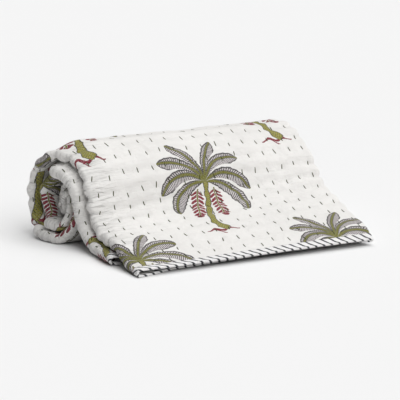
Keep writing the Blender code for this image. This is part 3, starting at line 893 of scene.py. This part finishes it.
def print_trunk(node, place, setting):
    """The trunk, an outlined olive band with small scales that winds down to a knob."""
    right, up, _ = node("SeparateXYZ", place).outputs
    down = node("Math MULTIPLY", up, -1.0)
    lean, back, knob = (node("MapRange", down, *run, interpolation_type="SMOOTHSTEP")
                        for run in (TRUNK_LEAN, TRUNK_BACK, TRUNK_KNOB))
    half, end = (node("MapRange", down, *run) for run in (TRUNK_HALF, TRUNK_END))
    middle = node("Math ADD", lean, back)
    from_middle = node("Math SUBTRACT", right, middle)
    off = node("Math ABSOLUTE", from_middle)
    knots = node("Math MULTIPLY", down, KNOT_TURNS)
    bulge = node("Math SINE", knots)
    thick = node("Math ADD", half, knob)
    knotted = node("Math MULTIPLY_ADD", bulge, KNOT_BULGE, thick)
    width = node("Math MULTIPLY", knotted, end)
    inward = node("Math SUBTRACT", width, off)
    inside, outline = (node("MapRange", inward, *run) for run in (TRUNK_EDGE, TRUNK_OUTLINE))
    on_trunk = node("Math COMPARE", down, TRUNK_FOOT / 2, TRUNK_FOOT / 2)
    mask = node("Math MULTIPLY", inside, on_trunk)
    scale_down = node("Math MULTIPLY", down, SCALE_DOWN)
    scale_side = node("Math MULTIPLY", from_middle, SCALE_SIDE)
    first = node("Math SINE", scale_down)
    second = node("Math COSINE", scale_side)
    scales = node("Math MULTIPLY", first, second)
    scale = node("MapRange", scales, *SCALE_SHARE)
    dark = node("Math MAXIMUM", scale, outline)
    return mask, inked(node, (*setting.bark, 1), (dark, (*setting.vein, 1)))


def print_roots(node, place, setting):
    """Crimson roots that spread from the foot of the trunk, with a fork on the left."""
    right, up, _ = node("SeparateXYZ", place).outputs
    from_foot = node("Math ADD", right, ROOTS_LEFT)
    curl = node("Math MULTIPLY", from_foot, ROOT_CURL)
    curled = node("Math COSINE", curl)
    line = node("Math MULTIPLY_ADD", curled, ROOT_WAVE, -ROOTS_BELOW)
    away = node("Math SUBTRACT", up, line)
    near = node("Math ABSOLUTE", away)
    reach = node("Math ABSOLUTE", from_foot)
    width = node("MapRange", reach, *ROOT_HALF)
    on_line = node("Math LESS_THAN", near, width)
    short = node("Math LESS_THAN", reach, ROOT_REACH)
    root = node("Math MULTIPLY", on_line, short)
    slanted = node("Math MULTIPLY_ADD", from_foot, FORK_SLOPE, away)
    on_fork = node("Math COMPARE", slanted, FORK_OFF, FORK_HALF)
    below = node("Math COMPARE", away, FORK_OFF / 2, -FORK_OFF / 2)
    fork = node("Math MULTIPLY", on_fork, below)
    mask = node("Math MAXIMUM", root, fork)
    return mask, (*setting.crimson, 1)


# ---- cloth, thread and paper -----------------------------------------------------------
CREASE_RUN = (0.16, 1.0, 1.0)           # creases are longer across the cloth than wide
CREASE_DEPTH = (0.0, 75 * MM, 1.0, 0.12)
CRUMPLE_SHARE, SLUB_SHARE = 0.35, 3.0
THREAD_SPACING, STRAND_SPACING = 1.0 * MM, 0.75 * MM
THREAD_WANDER = (1.5, 1.0, 2.0)         # a wave texture's distortion and its detail
STRAND_WANDER = 2.0
CREASE_BUMP, WEAVE_DEPTH = (1.0, 12 * MM), 0.6 * MM
STRAND_BUMP, GRAIN_BUMP = (0.4, 0.3 * MM), (0.03, 0.2 * MM)
# What noise gives: how grey the cotton is, how full the ink is and how dark a fleck is.
GREYER, INK_FULL, FLECKED = (0.3, 0.7, 0.0, 1.0), (0.35, 0.6, 0.86, 1.0), (0.58, 0.66, 0.0, 0.28)
# The second share darkens the thread in the grooves between its strands: painted shade.
GREY_COTTON, GROOVE_SHADE_SHARE = 0.95, 0.6    # shares of a colour
STRIPE_WANDER = 2.2 * MM
STRIPE_OUTER, STRIPE_INNER = 1.2, 0.75  # a stripe's soft edge, in shares of its half width


def creases(node):
    """Height of the fine creases that the stitches gather: they run across the cloth, deep
    at the left fold and faint elsewhere, over a soft crumple."""
    cloth = node("UVMap", uv_map="Quilting")
    pulled = node("Mapping", cloth, at={"Scale": CREASE_RUN})
    fine = node("TexNoise", pulled, at={"Scale": per(8.3), "Detail": 2.0, "Distortion": 0.6})
    soft = node("TexNoise", cloth, at={"Scale": per(26), "Detail": 3.0, "Distortion": 0.4})
    across = node("SeparateXYZ", cloth).outputs[0]
    from_fold = node("Math SUBTRACT", across, FOLD_ROUND / 2)
    away = node("Math ABSOLUTE", from_fold)
    depth = node("MapRange", away, *CREASE_DEPTH, interpolation_type="SMOOTHSTEP")
    gathered = node("Math MULTIPLY", fine, depth)
    return node("Math MULTIPLY_ADD", soft, CRUMPLE_SHARE, gathered)


def cotton_weave(node, shader, strength, below=None):
    """Plain weave of fine cotton over soft slubs: real threads lie 0.4 mm apart, and are
    drawn at 1 mm so that they show."""
    cloth = node("UVMap", uv_map="Cloth")
    warp, weft = (node("TexWave", cloth, WAVE_WIDTH / THREAD_SPACING, *THREAD_WANDER,
                       bands_direction=way).outputs["Fac"] for way in "XY")
    threads = node("Math ADD", warp, weft)
    slub = node("TexNoise", cloth, at={"Scale": per(11), "Detail": 4.0})
    height = node("Math MULTIPLY_ADD", slub, SLUB_SHARE, threads)
    bump = node("Bump", strength, WEAVE_DEPTH, at={"Height": height, "Normal": below})
    plug(bump.outputs[0], shader.inputs["Normal"])


def new_material(name, roughness, specular, sheen=0.0):
    """A material, what adds a node to it, and its Principled shader."""
    material = bpy.data.materials.new(name)
    material.use_nodes = True
    shader = material.node_tree.nodes["Principled BSDF"]
    shader.inputs["Roughness"].default_value = roughness
    shader.inputs["Specular IOR Level"].default_value = specular
    shader.inputs["Sheen Weight"].default_value = sheen
    return material, partial(add, material.node_tree), shader


def printed_cotton(setting):
    """Bleached plain-weave cotton, block printed by hand: matt, with a soft fuzz sheen,
    ink that is a little uneven, and pale yarn between."""
    material, node, shader = new_material("Block-printed plain-weave cotton",
                                          roughness=0.92, specular=0.2, sheen=0.12)
    cloth = node("UVMap", uv_map="Cloth")
    cloud = node("TexNoise", cloth, at={"Scale": per(110), "Detail": 3.0})
    shade = node("MapRange", cloud, *GREYER)
    greyer = tuple(c * GREY_COTTON for c in setting.cotton)
    ground = inked(node, (*setting.cotton, 1), (shade, (*greyer, 1)))
    place = palm_place(node, setting)
    layers = [print_roots(node, place, setting), print_trunk(node, place, setting),
              print_fronds(node, place, setting)]
    for bunch in BUNCHES:
        layers += print_berries(node, place, setting, bunch)
    worn = node("TexNoise", cloth, at={"Scale": per(2.4), "Detail": 2.0})
    ink = node("MapRange", worn, *INK_FULL)
    colour = inked(node, ground, (ink, inked(node, ground, *layers)))
    plug(colour, shader.inputs["Base Color"])
    creased = node("Bump", *CREASE_BUMP, at={"Height": creases(node)})
    cotton_weave(node, shader, strength=0.35, below=creased)
    return material


def striped_bias(setting):
    """White cotton cut on the bias, so that its charcoal stripes cross the hem aslant."""
    material, node, shader = new_material("Bias-cut striped cotton",
                                          roughness=0.9, specular=0.2, sheen=0.1)
    cloth = node("UVMap", uv_map="Cloth")
    along, over, _ = node("SeparateXYZ", cloth).outputs
    shaky = node("TexNoise", cloth, at={"Scale": per(7.7), "Detail": 2.0})
    slant = node("Math SUBTRACT", along, over)
    wander = node("Math MULTIPLY_ADD", shaky, STRIPE_WANDER, slant)
    steps = node("Math DIVIDE", wander, setting.stripe_pitch)
    from_gap = node("Math PINGPONG", steps, 0.5)
    half = setting.stripe / setting.stripe_pitch / 2
    stripe = node("MapRange", from_gap, 0.5 - half * STRIPE_OUTER, 0.5 - half * STRIPE_INNER,
                  0.0, 1.0)
    speckle = node("TexNoise", cloth, at={"Scale": per(1.4), "Detail": 1.0})
    fleck = node("MapRange", speckle, *FLECKED)
    dark = node("Math MAXIMUM", stripe, fleck)
    colour = inked(node, (*setting.ground, 1), (dark, (*setting.charcoal, 1)))
    plug(colour, shader.inputs["Base Color"])
    cotton_weave(node, shader, strength=0.3)
    return material


def quilting_thread(setting):
    """Six-strand cotton thread, softly twisted: its strands show as fine slanting lines, with
    painted shade that darkens the grooves between them.
    """
    material, node, shader = new_material("Six-strand cotton thread",
                                          roughness=0.7, specular=0.5)
    place = node("TexCoord").outputs["Object"]
    twist = node("TexWave", place, WAVE_WIDTH / STRAND_SPACING, STRAND_WANDER,
                 bands_direction="DIAGONAL").outputs["Fac"]
    # Darker where the twist runs low, in the grooves between the strands: painted shade.
    groove_shade_colour = tuple(c * GROOVE_SHADE_SHARE for c in setting.colour)
    colour = inked(node, (*groove_shade_colour, 1), (twist, (*setting.colour, 1)))
    plug(colour, shader.inputs["Base Color"])
    bump = node("Bump", *STRAND_BUMP, at={"Height": twist})
    plug(bump.outputs[0], shader.inputs["Normal"])
    return material


def matt_paper(setting):
    """Matt white paper with a faint grain."""
    material, node, shader = new_material("Matt studio paper", roughness=1.0, specular=0.0)
    place = node("TexCoord").outputs["Object"]
    grain = node("TexNoise", place, at={"Scale": per(2.5)})
    bump = node("Bump", *GRAIN_BUMP, at={"Height": grain})
    plug(bump.outputs[0], shader.inputs["Normal"])
    shader.inputs["Base Color"].default_value = (*setting.floor, 1)
    return material


# ---- operators -------------------------------------------------------------------------
class KANTHA_OT_quilt(bpy.types.Operator):
    """Fold, double and roll the printed quilt"""
    bl_idname = "kantha.quilt"
    bl_label = "Quilt cloth"

    def execute(self, context):
        quilting = context.scene.kantha_stitching
        stations, rows = across_strip(), quilt_rows()
        grid = quilt_grid(stations, rows, quilting)
        cloth = flat_cloth("folded_quilt", len(stations), len(rows))
        across = np.array([station.across for station in stations])
        lay_out(cloth, grid, Cloth=printed_places(across, rows), Quilting=flat_places(across, rows))
        from_hem = np.minimum(rows, CLOTH_LENGTH - rows)
        full = ease(from_hem, BINDING_DEPTH, BINDING_DEPTH + PADDING_RUN)
        weight = EDGE_LEAF / LEAF + (1 - EDGE_LEAF / LEAF) * full
        thicken(cloth, LEAF, np.repeat(weight, len(stations)))
        cloth.data.materials.append(printed_cotton(context.scene.kantha_print))
        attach(cloth, "root")
        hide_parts("quilt_cloth")
        return {"FINISHED"}


class KANTHA_OT_stitches(bpy.types.Operator):
    """Sew the rows of hand stitches"""
    bl_idname = "kantha.stitches"
    bl_label = "Hand stitches"

    def execute(self, context):
        quilting = context.scene.kantha_stitching
        stations, rows = across_strip(), quilt_rows()
        surface = Surface(stations, rows, quilt_grid(stations, rows, quilting))
        points, faces = stitch_mesh(surface, quilting)
        mesh = bpy.data.meshes.new("hand_stitches")
        mesh.from_pydata(points.tolist(), [], faces)
        mesh.validate()
        mesh.shade_smooth()
        stitches = bpy.data.objects.new("hand_stitches", mesh)
        context.collection.objects.link(stitches)
        mesh.materials.append(quilting_thread(quilting))
        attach(stitches, "root")
        return {"FINISHED"}


class KANTHA_OT_bindings(bpy.types.Operator):
    """Bind both hems with striped bias strip"""
    bl_idname = "kantha.bindings"
    bl_label = "Hem bindings"

    def execute(self, context):
        setting = context.scene.kantha_binding
        material = striped_bias(setting)
        stations = across_strip()
        across = np.array([station.across for station in stations])
        for node, from_front in (("front_hem_binding", True), ("back_hem_binding", False)):
            rows, offsets, strip = binding_rows(from_front)
            gather = setting.gather * waves(across[None, :], strip[:, None], BINDING_GATHER)
            puffed = np.sin(pi * np.clip(strip / strip.max(), 0, 1))
            bulge = gather * shown_share(stations)[None, :] * puffed[:, None]
            lift = offsets[:, None] + np.maximum(bulge, -BINDING_DENT) * np.sign(offsets)[:, None]
            order = np.argsort(rows, kind="stable")
            grid = np.empty((len(rows), len(stations), 3))
            grid[order] = cloth_surface(stations, rows[order], lift[order])
            binding = flat_cloth(node.replace("_hem_binding", "_bias_binding"),
                                 len(stations), len(rows))
            lay_out(binding, grid, Cloth=flat_places(across, strip))
            thicken(binding, BINDING_CLOTH)
            binding.data.materials.append(material)
            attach(binding, "root")
            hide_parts(node)
        return {"FINISHED"}


AIM = Vector((-0.02656, -0.07525, 0.0955))   # the point in the picture's middle
FLOOR_SIZE = 60.0
FLOOR_DROP = 0.3 * MM
KEY_FROM = Vector((0.35, -1.1, 1.4))
TOP_FROM = Vector((0.3, 0.5, 2.0))
SOFT_ANGLE = radians(60)


class KANTHA_OT_studio(bpy.types.Operator):
    """Set up the floor, the lights and the camera"""
    bl_idname = "kantha.studio"
    bl_label = "Studio"

    def execute(self, context):
        setting = context.scene.kantha_studio
        context.scene.view_settings.view_transform = "Standard"
        bpy.ops.object.select_all(action="DESELECT")
        bpy.ops.mesh.primitive_plane_add(size=FLOOR_SIZE, location=(0, 0, -FLOOR_DROP))
        floor = context.active_object
        floor.name = "paper_floor"
        floor.data.materials.append(matt_paper(setting))
        world = bpy.data.worlds.new("Even room light")
        context.scene.world = world
        world.use_nodes = True
        sky = world.node_tree.nodes["Background"]
        sky.inputs["Color"].default_value = (1, 1, 1, 1)
        sky.inputs["Strength"].default_value = setting.sky
        soft_light("Key light", setting.key, KEY_FROM)
        soft_light("Top light", setting.top, TOP_FROM)
        add_camera(setting)
        return {"FINISHED"}


def soft_light(name, strength, place):
    """Light from that side, as wide and soft as from a large cloth box."""
    lamp = bpy.data.lights.new(name, "SUN")
    lamp.energy = strength
    lamp.angle = SOFT_ANGLE
    holder = bpy.data.objects.new(name, lamp)
    bpy.context.collection.objects.link(holder)
    holder.location = AIM + place
    holder.rotation_euler = (-place).to_track_quat("-Z", "Y").to_euler()


def add_camera(setting):
    """The camera at the picture's angle."""
    level = cos(setting.elevation)
    back = Vector((sin(setting.azimuth) * level, -cos(setting.azimuth) * level,
                   sin(setting.elevation)))
    lens = bpy.data.cameras.new("Camera")
    lens.sensor_width = 36
    lens.lens = setting.lens
    lens.clip_start, lens.clip_end = 0.05, 100
    camera = bpy.data.objects.new("Camera", lens)
    bpy.context.collection.objects.link(camera)
    camera.location = AIM + back * setting.distance
    camera.rotation_euler = (-back).to_track_quat("-Z", "Y").to_euler()
    bpy.context.scene.camera = camera


OPERATORS = [KANTHA_OT_quilt, KANTHA_OT_stitches, KANTHA_OT_bindings, KANTHA_OT_studio]


class KANTHA_PT_panel(bpy.types.Panel):
    """Buttons that build the quilt, with its sizes and colours"""
    bl_idname = "KANTHA_PT_panel"
    bl_label = "Rolled Kantha Quilt"
    bl_space_type = "VIEW_3D"
    bl_region_type = "UI"
    bl_category = "Quilt"

    def draw(self, context):
        for kind in OPERATORS:
            self.layout.operator(kind.bl_idname)
        for name, kind in SETTINGS.items():
            box = self.layout.box()
            for field in kind.__annotations__:
                box.prop(getattr(context.scene, name), field)


def register():
    for kind in [*SETTINGS.values(), *OPERATORS, KANTHA_PT_panel]:
        bpy.utils.register_class(kind)
    for name, kind in SETTINGS.items():
        setattr(bpy.types.Scene, name, PointerProperty(type=kind))


def unregister():
    for name in SETTINGS:
        delattr(bpy.types.Scene, name)
    for kind in reversed([*SETTINGS.values(), *OPERATORS, KANTHA_PT_panel]):
        bpy.utils.unregister_class(kind)


def main():
    register()
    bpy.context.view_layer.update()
    bpy.ops.kantha.studio()
    bpy.ops.kantha.quilt()
    bpy.ops.kantha.stitches()
    bpy.ops.kantha.bindings()


if __name__ == "__main__":
    main()
